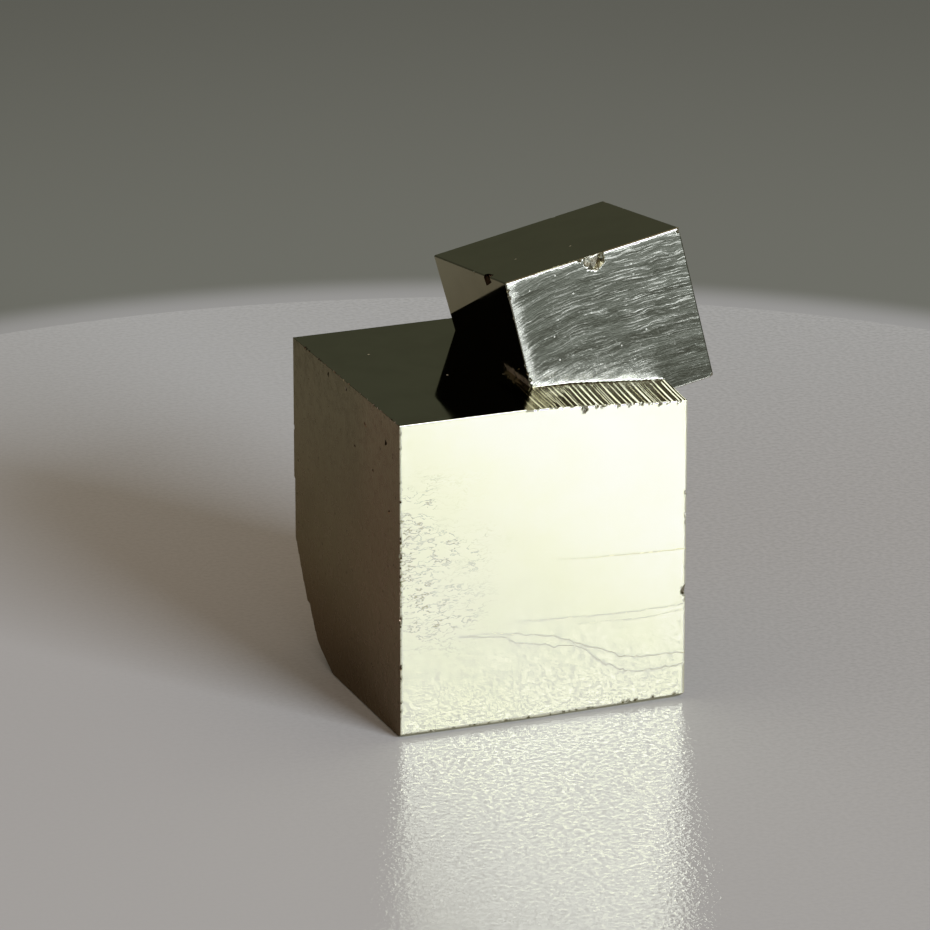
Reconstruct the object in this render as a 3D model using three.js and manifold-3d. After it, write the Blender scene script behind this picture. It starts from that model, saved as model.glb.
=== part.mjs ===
// Two pyrite cubes grown into each other: a large one that stands on its base,
// and a smaller one, tilted, that is sunk into the large one's top and overhangs its right side.
// Millimetres, +Z up. The origin is the centre of the large cube's base, and -Y is its bright front.
import * as THREE from "three";
import { mergeVertices } from "three/addons/utils/BufferGeometryUtils.js";
import Module from "manifold-3d";

const wasm = await Module();
wasm.setup();

// Driving dimensions, in millimetres and degrees
const LARGE = { width: 26.0, depth: 25.5, height: 27.85 };
const SMALL = {
  length: 16.2,
  depth: 17.45,
  height: 13.35,
  backTaper: 1.6,
  centre: [8.5, 1.7, 30.6],
  turn: [-8.7, -10.9, 0.7],
};

// The slanting heel that takes the place of the back bottom edge, as (y, z) points from the base upwards.
// Two striated facets have a growth step between them, and a worn lip leads down to the base.
const HEEL = {
  baseEnd: [3.2, 0],
  lip: [6.2, 1.35],
  lowerFacet: { foot: [7.2, 1.95], head: [9.05, 4.65], steps: 3 },
  upperFacet: { foot: [9.65, 4.75], head: [12.75, 10.3], steps: 5 },
  stepRelief: 0.12,
};

// The worn bottom edge at the front, a little clear of what the base stands on
const FRONT_WEAR = { rise: 0.3, reach: 1.5 };

// Striae on the right of the top face: they step down to the right and fade towards the back
const TOP_STRIAE = { count: 26, startX: -0.6, drop: 0.98, relief: 0.09, fade: 3.5 };

// Striae on the small cube's front face, along its length
const FRONT_STRIAE = { count: 17, relief: 0.13 };

// The worn top edge at the back, from beside the small cube to the right
const BACK_WEAR = { startX: -0.2, reach: 0.75, slant: 16, splay: 8 };

// Growth ledges on the upright faces. Below its line a face lies deeper, by more the further the line runs.
// The line is in shares of the face's width and of the height, and turn takes the front face to its place.
const LEDGE_STEPS = 28;
const LEDGES = [
  {
    turn: 0,
    depth: 0.14,
    line: [[0.2, 0.324], [0.45, 0.273], [0.63, 0.231], [0.72, 0.169], [0.84, 0.118], [1.0, 0.121]],
  },
  {
    turn: 90,
    depth: 0.22,
    line: [[0.16, 0.794], [0.34, 0.726], [0.48, 0.529], [0.62, 0.48], [0.8, 0.451], [1.0, 0.373]],
  },
  {
    turn: 180,
    depth: 0.26,
    line: [[0.1, 0.863], [0.28, 0.804], [0.4, 0.667], [0.61, 0.637], [0.77, 0.559], [1.0, 0.539]],
  },
];

// Flakes struck off the edges. Each is placed in shares of its cube's sides, from the cube's middle.
const LARGE_FLAKES = [
  { radius: 0.46, stretch: [0.9, 0.9, 0.75], at: [0.5, -0.5, -0.155], turn: [0, 25, 10] },
  { radius: 0.24, stretch: [0.8, 0.8, 1.3], at: [-0.5, -0.5, 0.091], turn: [0, 12, 30] },
  { radius: 0.22, stretch: [0.8, 0.8, 1.1], at: [-0.5, -0.5, -0.098], turn: [0, 30, 15] },
  { radius: 0.3, stretch: [1, 1, 1], at: [-0.5, -0.5, 0.5], turn: [20, 10, 30] },
  { radius: 0.5, stretch: [1, 1, 0.8], at: [0.5, -0.5, -0.5], turn: [15, 25, 0] },
  { radius: 0.55, stretch: [0.8, 0.9, 1.4], at: [0.5, 0.5, 0.12], turn: [10, 0, 20] },
  { radius: 0.4, stretch: [0.9, 0.9, 1.1], at: [-0.5, 0.5, 0.21], turn: [0, 25, 0] },
  { radius: 0.62, stretch: [0.8, 1.3, 0.8], at: [0.5, -0.06, -0.5], turn: [30, 0, 10] },
];
const SMALL_FLAKES = [
  { radius: 0.75, stretch: [1.1, 0.55, 0.95], at: [0, -0.5, 0.5], turn: [10, 18, 6] },
  { radius: 0.38, stretch: [1, 0.8, 1], at: [-0.08, -0.5, 0.5], turn: [0, 30, 20] },
  { radius: 0.42, stretch: [0.6, 1, 0.9], at: [-0.5, -0.22, 0.5], turn: [24, 0, 12] },
  { radius: 0.5, stretch: [1, 0.7, 1.1], at: [0.5, -0.5, 0.49], turn: [12, 35, 0] },
  { radius: 0.46, stretch: [0.8, 0.8, 1.2], at: [0.5, -0.5, -0.5], turn: [0, 20, 30] },
  { radius: 0.34, stretch: [0.9, 0.7, 1.5], at: [-0.5, -0.5, 0.41], turn: [0, 0, 25] },
  { radius: 0.6, stretch: [0.7, 1.4, 0.8], at: [0.5, 0.2, 0.5], turn: [15, 0, 8] },
  { radius: 0.44, stretch: [1.3, 0.8, 0.7], at: [0.2, 0.5, 0.5], turn: [0, 22, 0] },
];

const OVERCUT = 4;
const MERGE_DISTANCE = 1e-4;
const PYRITE = { color: 0xc9bf94, metalness: 1.0, roughness: 0.2 };

const X = new THREE.Vector3(1, 0, 0);
const Y = new THREE.Vector3(0, 1, 0);
const Z = new THREE.Vector3(0, 0, 1);
const radians = THREE.MathUtils.degToRad;
const point = (x, y) => new THREE.Vector2(x, y);

// A fixed irregularity between -1 and 1, so that repeats are not all alike
const irregular = (i, seed) => Math.sin(12.9898 * i + 78.233 * seed);

function toSolid(geometry) {
  const bare = geometry.clone();
  bare.deleteAttribute("normal");
  bare.deleteAttribute("uv");
  const merged = mergeVertices(bare, MERGE_DISTANCE);
  return new wasm.Manifold(
    new wasm.Mesh({
      numProp: 3,
      vertProperties: merged.attributes.position.array,
      triVerts: new Uint32Array(merged.index.array),
    }),
  );
}

function toGeometry(solid) {
  const mesh = solid.getMesh();
  const geometry = new THREE.BufferGeometry();
  geometry.setAttribute("position", new THREE.BufferAttribute(mesh.vertProperties, 3));
  geometry.setIndex(new THREE.BufferAttribute(mesh.triVerts, 1));
  geometry.computeVertexNormals();
  return geometry;
}

function extruded(points, length) {
  const settings = { depth: length, bevelEnabled: false };
  return new THREE.ExtrudeGeometry(new THREE.Shape(points), settings).translate(0, 0, -length / 2);
}

// An outline in (y, z), extruded along X about the middle
const alongX = (points, length) =>
  extruded(points, length).applyMatrix4(new THREE.Matrix4().makeBasis(Y, Z, X));

// An outline in (x, z), extruded along Y about the middle
const alongY = (points, length) =>
  extruded(points, length).applyMatrix4(new THREE.Matrix4().makeBasis(X, Z, Y.clone().negate()));

// A facet of the heel from foot to head, broken into low steps by short treads
function striatedFacet({ foot, head, steps }, seed) {
  const points = [point(...foot)];
  for (let i = 1; i < steps; i++) {
    const share = (i + 0.3 * irregular(i, seed)) / steps;
    const edge = point(...foot).lerp(point(...head), share);
    points.push(edge, point(edge.x + HEEL.stepRelief, edge.y));
  }
  return [...points, point(...head)];
}

function largeCube() {
  const { width, depth, height } = LARGE;
  const side = [
    point(-depth / 2, FRONT_WEAR.rise),
    point(-depth / 2 + FRONT_WEAR.reach, 0),
    point(...HEEL.baseEnd),
    point(...HEEL.lip),
    ...striatedFacet(HEEL.lowerFacet, 6),
    ...striatedFacet(HEEL.upperFacet, 7),
    point(depth / 2, height),
    point(-depth / 2, height),
  ];
  return toSolid(alongX(side, width));
}

// Everything above a toothed line that falls from startX to the right side, hinged at the front edge
function topStriaeCutter() {
  const { count, startX, drop, relief, fade } = TOP_STRIAE;
  const span = LARGE.width / 2 - startX;
  const fallTo = (x) => (-drop * (x - startX)) / span;
  const teeth = [];
  for (let i = 0, x = startX; x < LARGE.width / 2 + 1; i++) {
    const width = (span / count) * (1 + 0.45 * irregular(i, 1));
    const cut = i ? relief * (0.6 + 0.4 * irregular(i, 2)) : 0;
    const crest = x + width * (0.62 + 0.2 * irregular(i, 3));
    teeth.push(point(x, fallTo(x) - cut), point(crest, fallTo(crest)));
    x += width;
  }
  const end = teeth[teeth.length - 1].x + OVERCUT;
  const outline = [...teeth, point(end, fallTo(end)), point(end, OVERCUT), point(startX, OVERCUT)];
  const cutter = alongY(outline, 2 * LARGE.depth).rotateX(radians(fade));
  return toSolid(cutter.translate(0, -LARGE.depth / 2, LARGE.height));
}

function backWearCutter() {
  const { startX, reach, slant, splay } = BACK_WEAR;
  const bar = new THREE.BoxGeometry(LARGE.width, OVERCUT, OVERCUT);
  bar.translate(LARGE.width / 2, 0, OVERCUT / 2).rotateX(radians(-slant)).rotateZ(radians(splay));
  const sunk = reach * Math.tan(radians(slant));
  return toSolid(bar.translate(startX, (LARGE.depth - reach) / 2, LARGE.height - sunk));
}

function ledgeCutter({ turn, depth, line }) {
  const sideways = turn % 180 !== 0;
  const across = sideways ? LARGE.depth : LARGE.width;
  const faceAt = (sideways ? LARGE.width : LARGE.depth) / 2;
  const knots = line.map(([s, t]) => point((s - 0.5) * across, t * LARGE.height));
  const curve = new THREE.SplineCurve(knots).getPoints(LEDGE_STEPS);
  const start = curve[0].x;
  const end = across / 2 + OVERCUT;
  const outline = [
    point(start, -OVERCUT),
    point(end, -OVERCUT),
    point(end, curve[LEDGE_STEPS].y),
    ...curve.reverse(),
  ];
  const wedge = Math.atan2(depth, across / 2 - start);
  const slab = alongY(outline, OVERCUT).translate(-start, -OVERCUT / 2, 0).rotateZ(wedge);
  return toSolid(slab.translate(start, -faceAt, 0).rotateZ(radians(turn)));
}

function flake({ radius, stretch, at, turn }, sides, middle) {
  const chip = new THREE.OctahedronGeometry(radius).scale(...stretch);
  chip.rotateX(radians(turn[0])).rotateY(radians(turn[1])).rotateZ(radians(turn[2]));
  return toSolid(chip.translate(...at.map((share, i) => middle[i] + share * sides[i])));
}

// The small cube about its own middle, its front outline broken by striae
function smallCube() {
  const { length, depth, height, backTaper } = SMALL;
  const front = -depth / 2;
  const pitch = height / FRONT_STRIAE.count;
  const side = [point(depth / 2 - backTaper, -height / 2), point(depth / 2, height / 2)];
  for (let i = FRONT_STRIAE.count; i > 0; i--) {
    const top = -height / 2 + i * pitch;
    const cut = FRONT_STRIAE.relief * (0.55 + 0.45 * irregular(i, 4));
    const foot = top - pitch * (0.4 + 0.25 * irregular(i, 5));
    side.push(point(front, top), point(front + cut, foot));
  }
  side.push(point(front, -height / 2));
  return toSolid(alongX(side, length));
}

const cutBack = (body, cutters) => cutters.reduce((left, cutter) => left.subtract(cutter), body);

function largeCrystal() {
  const sides = [LARGE.width, LARGE.depth, LARGE.height];
  const flakes = LARGE_FLAKES.map((each) => flake(each, sides, [0, 0, LARGE.height / 2]));
  const cutters = [topStriaeCutter(), backWearCutter(), ...LEDGES.map(ledgeCutter), ...flakes];
  return cutBack(largeCube(), cutters);
}

function smallCrystal() {
  const sides = [SMALL.length, SMALL.depth, SMALL.height];
  const flakes = SMALL_FLAKES.map((each) => flake(each, sides, [0, 0, 0]));
  const lean = new THREE.Euler(...SMALL.turn.map(radians), "ZYX");
  const place = new THREE.Matrix4().makeRotationFromEuler(lean).setPosition(...SMALL.centre);
  return cutBack(smallCube(), flakes).transform(place.elements);
}

// The two crystals grew into each other, so they are one solid
const crystals = new THREE.Mesh(
  toGeometry(largeCrystal().add(smallCrystal())),
  new THREE.MeshStandardMaterial(PYRITE),
);
crystals.name = "pyrite_crystals";

const specimen = new THREE.Group();
specimen.add(crystals);

export default specimen;
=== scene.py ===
"""Models a pyrite specimen, two cubes grown into each other, and the stage that it is shown on."""

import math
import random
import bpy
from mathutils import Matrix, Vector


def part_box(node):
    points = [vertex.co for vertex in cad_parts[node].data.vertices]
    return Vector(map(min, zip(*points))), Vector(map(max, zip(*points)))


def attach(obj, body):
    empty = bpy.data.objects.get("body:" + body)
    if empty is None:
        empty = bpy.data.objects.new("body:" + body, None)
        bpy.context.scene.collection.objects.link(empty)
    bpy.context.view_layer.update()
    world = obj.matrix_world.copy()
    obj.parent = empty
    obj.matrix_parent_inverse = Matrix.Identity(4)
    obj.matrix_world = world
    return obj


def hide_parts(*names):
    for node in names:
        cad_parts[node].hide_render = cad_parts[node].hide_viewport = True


bl_info = {
    "name": "Pyrite Specimen",
    "version": (1, 0, 0),
    "blender": (4, 5, 0),
    "location": "View3D > Sidebar > Pyrite",
    "description": "Two intergrown pyrite cubes with striae, growth ledges and worn edges, on a plain stage",
    "category": "Add Mesh",
}

from contextlib import contextmanager

import bmesh
import bpy
from bpy.props import FloatProperty, FloatVectorProperty, PointerProperty
from mathutils import Euler, Matrix, Vector, noise

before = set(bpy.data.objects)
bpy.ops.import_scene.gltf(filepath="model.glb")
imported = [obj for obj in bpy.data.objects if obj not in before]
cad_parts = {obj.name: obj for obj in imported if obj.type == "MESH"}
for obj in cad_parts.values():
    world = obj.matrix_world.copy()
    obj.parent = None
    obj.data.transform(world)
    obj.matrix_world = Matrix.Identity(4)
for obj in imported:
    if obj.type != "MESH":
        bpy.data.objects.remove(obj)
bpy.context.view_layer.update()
CAD_NODE = "pyrite_crystals"
CAD_LOW, CAD_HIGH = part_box(CAD_NODE)
MM = 0.001
OVERCUT = 4 * MM
CUT_TOLERANCE = 1e-8
X = Vector((1, 0, 0))
Y = Vector((0, 1, 0))
Z = Vector((0, 0, 1))

# The slanting heel that takes the place of the large cube's back bottom edge, as (y, z) in millimetres
HEEL_BASE = [(3.2, 0.0), (6.2, 1.35)]
HEEL_FACETS = [((7.2, 1.95), (9.05, 4.65), 3), ((9.65, 4.75), (12.75, 10.3), 5)]
HEEL_STEP = 0.12

# Growth ledges on the upright faces: a turn from the front face in degrees, a depth and the height of the
# slanting step in millimetres, and a line in shares of the face's width and height. Below its line the face
# lies deeper, by more the further the line runs.
LEDGES = [
    (0, 0.014, 0.1, [
        (0.166, 0.313), (0.35, 0.281), (0.41, 0.261), (0.61, 0.219), (0.67, 0.184), (0.73, 0.145),
        (0.8, 0.119), (0.89, 0.11), (1.0, 0.112),
    ]),
    (0, 0.01, 0.085, [
        (0.24, 0.313), (0.41, 0.286), (0.49, 0.272), (0.59, 0.244), (0.65, 0.214), (0.74, 0.187),
        (0.78, 0.165), (0.91, 0.155), (1.0, 0.152),
    ]),
    (0, 0.005, 0.05, [
        (0.33, 0.337), (0.43, 0.325), (0.56, 0.319), (0.67, 0.313), (0.77, 0.309), (0.88, 0.307), (1.0, 0.31),
    ]),
    (0, 0.006, 0.065, [
        (0.4, 0.306), (0.61, 0.292), (0.74, 0.288), (0.84, 0.283), (0.93, 0.288), (1.0, 0.294),
    ]),
    (0, 0.004, 0.05, [
        (0.46, 0.536), (0.51, 0.524), (0.59, 0.506), (0.74, 0.498), (0.9, 0.491), (1.0, 0.489),
    ]),
    (0, 0.004, 0.08, [(0.55, 0.43), (0.74, 0.425), (0.83, 0.41), (0.92, 0.406), (1.0, 0.403)]),
    (90, 0.22, 0.2, [(0.16, 0.794), (0.34, 0.726), (0.48, 0.529), (0.62, 0.48), (0.8, 0.451), (1.0, 0.373)]),
    (180, 0.26, 0.2, [(0.1, 0.863), (0.28, 0.804), (0.4, 0.667), (0.61, 0.637), (0.77, 0.559), (1.0, 0.539)]),
]

# How a ledge's line is drawn: its points, the size and length of its small waves in millimetres, how they
# grow with the ledge's depth, and how far outside the face the line starts
LEDGE_STEPS = 110
LEDGE_WAVES = 0.28
LEDGE_WAVE_LENGTH = 0.6
LEDGE_WAVE_GROWTH = 60
LEDGE_CLEARANCE = 0.0006

# Flakes struck off the edges: radius in millimetres, stretch, and a place in shares of the cube's sides
LARGE_FLAKES = [
    (1.15, (0.9, 0.8, 0.55), (0.503, -0.503, -0.138)),
    (0.36, (0.9, 0.9, 0.7), (0.503, -0.503, -0.065)),
    (0.4, (0.8, 0.8, 1.3), (-0.503, -0.503, 0.091)),
    (0.34, (0.8, 0.8, 1.1), (-0.503, -0.503, -0.112)),
    (0.3, (1.0, 1.0, 0.8), (-0.503, -0.503, 0.503)),
    (0.5, (1.0, 1.0, 0.8), (0.505, -0.505, -0.505)),
    (0.55, (0.8, 0.9, 1.4), (0.505, 0.505, 0.12)),
    (0.4, (0.9, 0.9, 1.1), (-0.505, 0.505, 0.21)),
    (0.62, (0.8, 1.3, 0.8), (0.508, -0.06, -0.505)),
]
SMALL_FLAKES = [
    (0.38, (1.0, 0.8, 1.0), (-0.08, -0.505, 0.505)),
    (0.5, (1.0, 0.7, 1.1), (0.505, -0.505, 0.49)),
    (0.46, (0.8, 0.8, 1.2), (0.505, -0.505, -0.505)),
    (0.34, (0.9, 0.7, 1.5), (-0.505, -0.505, 0.41)),
    (0.36, (0.8, 0.8, 1.3), (-0.503, -0.503, -0.18)),
    (0.28, (0.8, 0.8, 1.2), (-0.503, -0.503, -0.1)),
    (0.26, (0.8, 0.8, 1.2), (-0.496, -0.503, -0.15)),
    (0.24, (0.8, 0.8, 1.0), (-0.503, -0.498, -0.05)),
    (0.6, (0.7, 1.4, 0.8), (0.508, 0.2, 0.505)),
    (0.44, (1.3, 0.8, 0.7), (0.2, 0.505, 0.505)),
]

# The dark pit in the small cube's top left edge
DARK_PIT = [(0.95, (0.9, 0.75, 1.0), (-0.5, -0.23, 0.485))]

# The crumbled chip in the small cube's top front edge, as flat hollows side by side
EDGE_CHIP = [
    (0.95, (0.95, 0.36, 0.95), (0.0, -0.5, 0.462)),
    (0.6, (1.0, 0.5, 0.9), (-0.035, -0.5, 0.475)),
    (0.5, (0.9, 0.55, 1.0), (0.042, -0.5, 0.478)),
    (0.34, (1.0, 0.6, 1.0), (0.004, -0.5, 0.418)),
]

# Shallow pits in the large cube's left face: radius in millimetres, then depth and height in shares
LEFT_PITS = [
    (0.22, 0.162, 0.476),
    (0.2, -0.008, 0.476),
    (0.24, -0.184, 0.413),
    (0.18, -0.09, 0.321),
    (0.22, -0.44, 0.386),
    (0.16, -0.256, 0.29),
    (0.24, -0.377, 0.412),
    (0.17, -0.277, 0.439),
    (0.2, -0.4, 0.2),
    (0.2, -0.39, 0.027),
]
PIT_STRETCH = (0.8, 0.8, 1.2)
PIT_SIZE = 1.5
PIT_OFFSET = 0.7
PIT_SEED = 40

# Notches in the front edge of the striated strip: radius and drop in millimetres, and a place along the width
STRIP_NOTCHES = [
    (0.34, 0.4, 0.639),
    (0.2, 0.15, 0.705),
    (0.24, 0.1, 0.758),
    (0.18, 0.2, 0.8),
    (0.26, 0.12, 0.839),
    (0.16, 0.1, 0.872),
    (0.22, 0.25, 0.905),
    (0.24, 0.1, 0.937),
    (0.2, 0.12, 0.968),
]
NOTCH_WIDTH = 0.8
NOTCH_DEPTH = 0.5
NOTCH_SEED = 60

# How many small nicks lie along all of a cube's edges or along one edge, and the seed of their places
LARGE_NICKS = (70, 3)
SMALL_NICKS = (40, 5)
BOTTOM_NICKS = [(24, 21), (24, 22)]
LEFT_RIM_NICKS = (40, 24)
LEFT_EDGE_NICKS = (36, 25)
STRIP_NICKS = (24, 23)

# How uneven a struck flake is, as a share of its radius, and how its seed turns it
FLAKE_UNEVENNESS = 0.35
FLAKE_TURN = (0.7, 1.3, 2.1)

# Worn bottom edges, a little clear of the floor: a place in shares, a height there in millimetres, and which
# way the worn band faces
BASE_WEAR = [
    ((0, -0.5), 0.26, (0.0185, -0.8, -1)),
    ((0, -0.5), 0.26, (-0.01, -0.8, -1)),
    ((-0.5, 0), 0.12, (-0.16, 0, -1)),
    ((0.5, 0), 0.2, (0.2, 0, -1)),
    ((0.5, -0.5), 0.6, (0.7, -0.3, -0.6)),
]

# The worn front bottom edge that these leave: a share of the width, and a height in millimetres
BOTTOM_EDGE = [(-0.5, 0.37), (0, 0.25), (0.5, 0.49)]


class CrystalSizes(bpy.types.PropertyGroup):
    """Sizes of the two crystals and of what marks their faces."""

    large: FloatVectorProperty(
        name="Large cube",
        description="Width, depth and height of the large cube",
        default=(-2 * CAD_LOW[0], CAD_HIGH[1] - CAD_LOW[1], 27.85 * MM),
        subtype="XYZ",
        unit="LENGTH",
    )
    small: FloatVectorProperty(
        name="Small cube",
        description="Length, depth and height of the small cube",
        default=(16.2 * MM, 17.45 * MM, 13.35 * MM),
        subtype="XYZ",
        unit="LENGTH",
    )
    small_centre: FloatVectorProperty(
        name="Small cube's middle",
        description="Where the small cube's middle is, from the middle of the large cube's base",
        default=(8.5 * MM, 1.7 * MM, 30.6 * MM),
        subtype="TRANSLATION",
        unit="LENGTH",
    )
    small_turn: FloatVectorProperty(
        name="Small cube's turn",
        description="How the small cube leans in the large one's top",
        default=(math.radians(-8.7), math.radians(-10.9), math.radians(0.7)),
        subtype="EULER",
        unit="ROTATION",
    )
    small_taper: FloatProperty(
        name="Back taper",
        description="How far the small cube's back face leans in at its foot",
        default=1.6 * MM,
        unit="LENGTH",
    )
    striae_width: FloatProperty(
        name="Striae width",
        description="Mean width of a step on the right of the large cube's top",
        default=0.44 * MM,
        unit="LENGTH",
    )
    striae_start: FloatProperty(
        name="Striae start",
        description="Where along the width the striated part of the top begins",
        default=-0.6 * MM,
        unit="LENGTH",
    )
    striae_drop: FloatProperty(
        name="Striae drop",
        description="How far the striated part falls to the right edge",
        default=0.98 * MM,
        unit="LENGTH",
    )
    striae_fade: FloatProperty(
        name="Striae fade",
        description="Slope by which the striated part rises to the top's level towards the back",
        default=math.radians(3.5),
        subtype="ANGLE",
    )
    large_wear: FloatProperty(
        name="Large cube's edge wear",
        description="Width of the worn band along the large cube's edges",
        default=0.035 * MM,
        unit="LENGTH",
    )
    small_wear: FloatProperty(
        name="Small cube's edge wear",
        description="Width of the worn band along the small cube's edges",
        default=0.1 * MM,
        unit="LENGTH",
    )
    front_grid: FloatProperty(
        name="Front grid",
        description="Spacing of the grid that carries the relief of the large cube's front",
        default=0.25 * MM,
        unit="LENGTH",
    )
    streak_grid: FloatProperty(
        name="Streak grid",
        description="Spacing of the grid that carries the relief of the small cube's front",
        default=0.13 * MM,
        unit="LENGTH",
    )


class SpecimenColours(bpy.types.PropertyGroup):
    """Colours of the pyrite, the floor and the light."""

    pyrite: FloatVectorProperty(
        name="Pyrite",
        description="Reflected colour of a clean crystal face",
        default=(0.48, 0.465, 0.36),
        subtype="COLOR",
    )
    edge_tint: FloatVectorProperty(
        name="Glancing tint",
        description="Tint of what a face reflects at a glancing angle",
        default=(0.75, 0.72, 0.6),
        subtype="COLOR",
    )
    # Painted light: the front's colours are brighter than clean pyrite, where the face catches the light.
    front: FloatVectorProperty(
        name="Front",
        description="Reflected colour of the large cube's bright front",
        default=(0.74, 0.72, 0.545),
        subtype="COLOR",
    )
    front_film_painted_bright: FloatVectorProperty(
        name="Film on the front",
        description="Reflected colour where a thin film lies on the large cube's front",
        default=(0.725, 0.71, 0.505),
        subtype="COLOR",
    )
    ledge: FloatVectorProperty(
        name="Ledge",
        description="Reflected colour of the narrow faces of growth ledges",
        default=(0.58, 0.52, 0.2),
        subtype="COLOR",
    )
    streaked: FloatVectorProperty(
        name="Streaked front",
        description="Reflected colour of the small cube's streaked front",
        default=(0.44, 0.437, 0.37),
        subtype="COLOR",
    )
    # Serves the real rust blotches and painted light too: a painted reflection of the warm shadow towards the
    # left face's front, and painted shade at its foot.
    rust_and_warm_shade: FloatVectorProperty(
        name="Rust",
        description="Reflected colour of the redder blotches of the tarnish",
        default=(0.225, 0.155, 0.112),
        subtype="COLOR",
    )
    residue: FloatVectorProperty(
        name="Residue",
        description="Colour of the brown residue in the seam between the cubes",
        default=(0.4, 0.3, 0.24),
        subtype="COLOR",
    )
    # Also used in darker shades as painted shade, on the left face's upper part and at the striae's left end.
    tarnish: FloatVectorProperty(
        name="Tarnish",
        description="Reflected colour where a face is tarnished",
        default=(0.23, 0.197, 0.135),
        subtype="COLOR",
    )
    floor: FloatVectorProperty(
        name="Floor",
        description="Colour of the pale floor",
        default=(0.555, 0.543, 0.55),
        subtype="COLOR",
    )
    # Painted light: the far floor's colour is lighter and cooler than the near floor's, standing in for
    # brighter light behind.
    floor_far_painted_light: FloatVectorProperty(
        name="Far floor",
        description="Colour of the pale floor at its far side",
        default=(0.635, 0.65, 0.675),
        subtype="COLOR",
    )
    surround: FloatVectorProperty(
        name="Surround",
        description="Colour of the floor far behind the specimen",
        default=(0.22, 0.232, 0.212),
        subtype="COLOR",
    )
    key: FloatVectorProperty(
        name="Key light",
        description="Colour of the soft light at the front",
        default=(0.93, 1.0, 1.06),
        subtype="COLOR",
    )
    ceiling: FloatVectorProperty(
        name="Ceiling",
        description="Colour of the dim light from above",
        default=(0.5, 0.39, 0.28),
        subtype="COLOR",
    )


def deselect_everything():
    """Leaves nothing selected, so that an operator acts only on what is chosen next."""
    if bpy.context.object and bpy.context.object.mode != "OBJECT":
        bpy.ops.object.mode_set(mode="OBJECT")
    bpy.ops.object.select_all(action="DESELECT")


def choose(piece):
    """Makes one piece the only one selected, and the active one."""
    deselect_everything()
    piece.select_set(True)
    bpy.context.view_layer.objects.active = piece


@contextmanager
def edit_mode(piece):
    """Enters edit mode on one piece alone, and leaves it at the end."""
    choose(piece)
    bpy.ops.object.mode_set(mode="EDIT")
    yield bmesh.from_edit_mesh(piece.data)
    bpy.ops.object.mode_set(mode="OBJECT")


def apply_modifier(piece, modifier):
    """Applies a modifier to its piece."""
    choose(piece)
    bpy.ops.object.modifier_apply(modifier=modifier.name)


def place(piece, turn, centre):
    """Turns a piece about the origin and moves it, with its new place in its mesh."""
    choose(piece)
    piece.matrix_world = Matrix.LocRotScale(centre, turn, None)
    bpy.ops.object.transform_apply(location=True, rotation=True, scale=True)


def add_block(name, sides, centre, material):
    """A block of the given sides, with its place in its mesh."""
    deselect_everything()
    bpy.ops.mesh.primitive_cube_add(size=1, location=centre)
    block = bpy.context.object
    block.name = name
    block.scale = sides
    bpy.ops.object.transform_apply(location=True, rotation=True, scale=True)
    block.data.materials.append(material)
    return block


def draw_prism(name, outline, runs, material):
    """A prism drawn point by point along its outline, closed, and extruded along one run or several."""
    deselect_everything()
    bpy.ops.mesh.primitive_plane_add(size=MM, location=outline[0])
    prism = bpy.context.object
    prism.name = name
    bpy.ops.object.transform_apply(location=True, rotation=True, scale=True)
    with edit_mode(prism):
        bpy.ops.mesh.select_mode(type="VERT")
        bpy.ops.mesh.select_all(action="SELECT")
        bpy.ops.mesh.merge(type="CENTER")
        for here, there in zip(outline, outline[1:]):
            bpy.ops.mesh.extrude_region_move(TRANSFORM_OT_translate={"value": there - here})
        bpy.ops.mesh.select_all(action="SELECT")
        bpy.ops.mesh.edge_face_add()
        bpy.ops.mesh.select_all(action="SELECT")
        for run in runs:
            bpy.ops.mesh.extrude_region_move(TRANSFORM_OT_translate={"value": run})
        bpy.ops.mesh.select_all(action="SELECT")
        bpy.ops.mesh.normals_make_consistent(inside=False)
    prism.data.materials.append(material)
    return prism


def add_flake(radius, stretch, centre, seed, material, turned=True):
    """A small angular body, for the hollow that a struck flake leaves."""
    deselect_everything()
    bpy.ops.mesh.primitive_ico_sphere_add(subdivisions=1, radius=radius, location=centre)
    flake = bpy.context.object
    flake.name = f"flake_{seed}"
    flake.scale = stretch
    if turned:
        flake.rotation_euler = Euler([turn * seed for turn in FLAKE_TURN])
    bpy.ops.object.transform_apply(location=True, rotation=True, scale=True)
    with edit_mode(flake):
        bpy.ops.mesh.select_all(action="SELECT")
        bpy.ops.transform.vertex_random(offset=FLAKE_UNEVENNESS * radius, uniform=1.0, seed=seed)
    flake.data.materials.append(material)
    return flake


def wear_edges(block, width):
    """Wears the block's edges down to narrow bands."""
    with edit_mode(block):
        bpy.ops.mesh.select_mode(type="EDGE")
        bpy.ops.mesh.select_all(action="SELECT")
        bpy.ops.mesh.bevel(offset=width, segments=2, affect="EDGES", clamp_overlap=False)


def slice_off(body, point, normal):
    """Cuts off what lies beyond a plane, and closes the cut."""
    with edit_mode(body):
        bpy.ops.mesh.select_all(action="SELECT")
        bpy.ops.mesh.bisect(
            plane_co=point, plane_no=normal, use_fill=True, clear_outer=True, threshold=CUT_TOLERANCE
        )


def combine(body, other, operation):
    """Joins another solid to the body, or takes it off, and removes the other."""
    boolean = body.modifiers.new(other.name, "BOOLEAN")
    boolean.operation = operation
    boolean.solver = "EXACT"
    boolean.use_self = True
    boolean.material_mode = "TRANSFER"
    boolean.object = other
    apply_modifier(body, boolean)
    bpy.data.objects.remove(other)


def strike_off(body, flakes):
    """Takes all the flakes off a crystal in one cut."""
    deselect_everything()
    for flake in flakes:
        flake.select_set(True)
    bpy.context.view_layer.objects.active = flakes[0]
    bpy.ops.object.join()
    combine(body, flakes[0], "DIFFERENCE")


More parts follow.
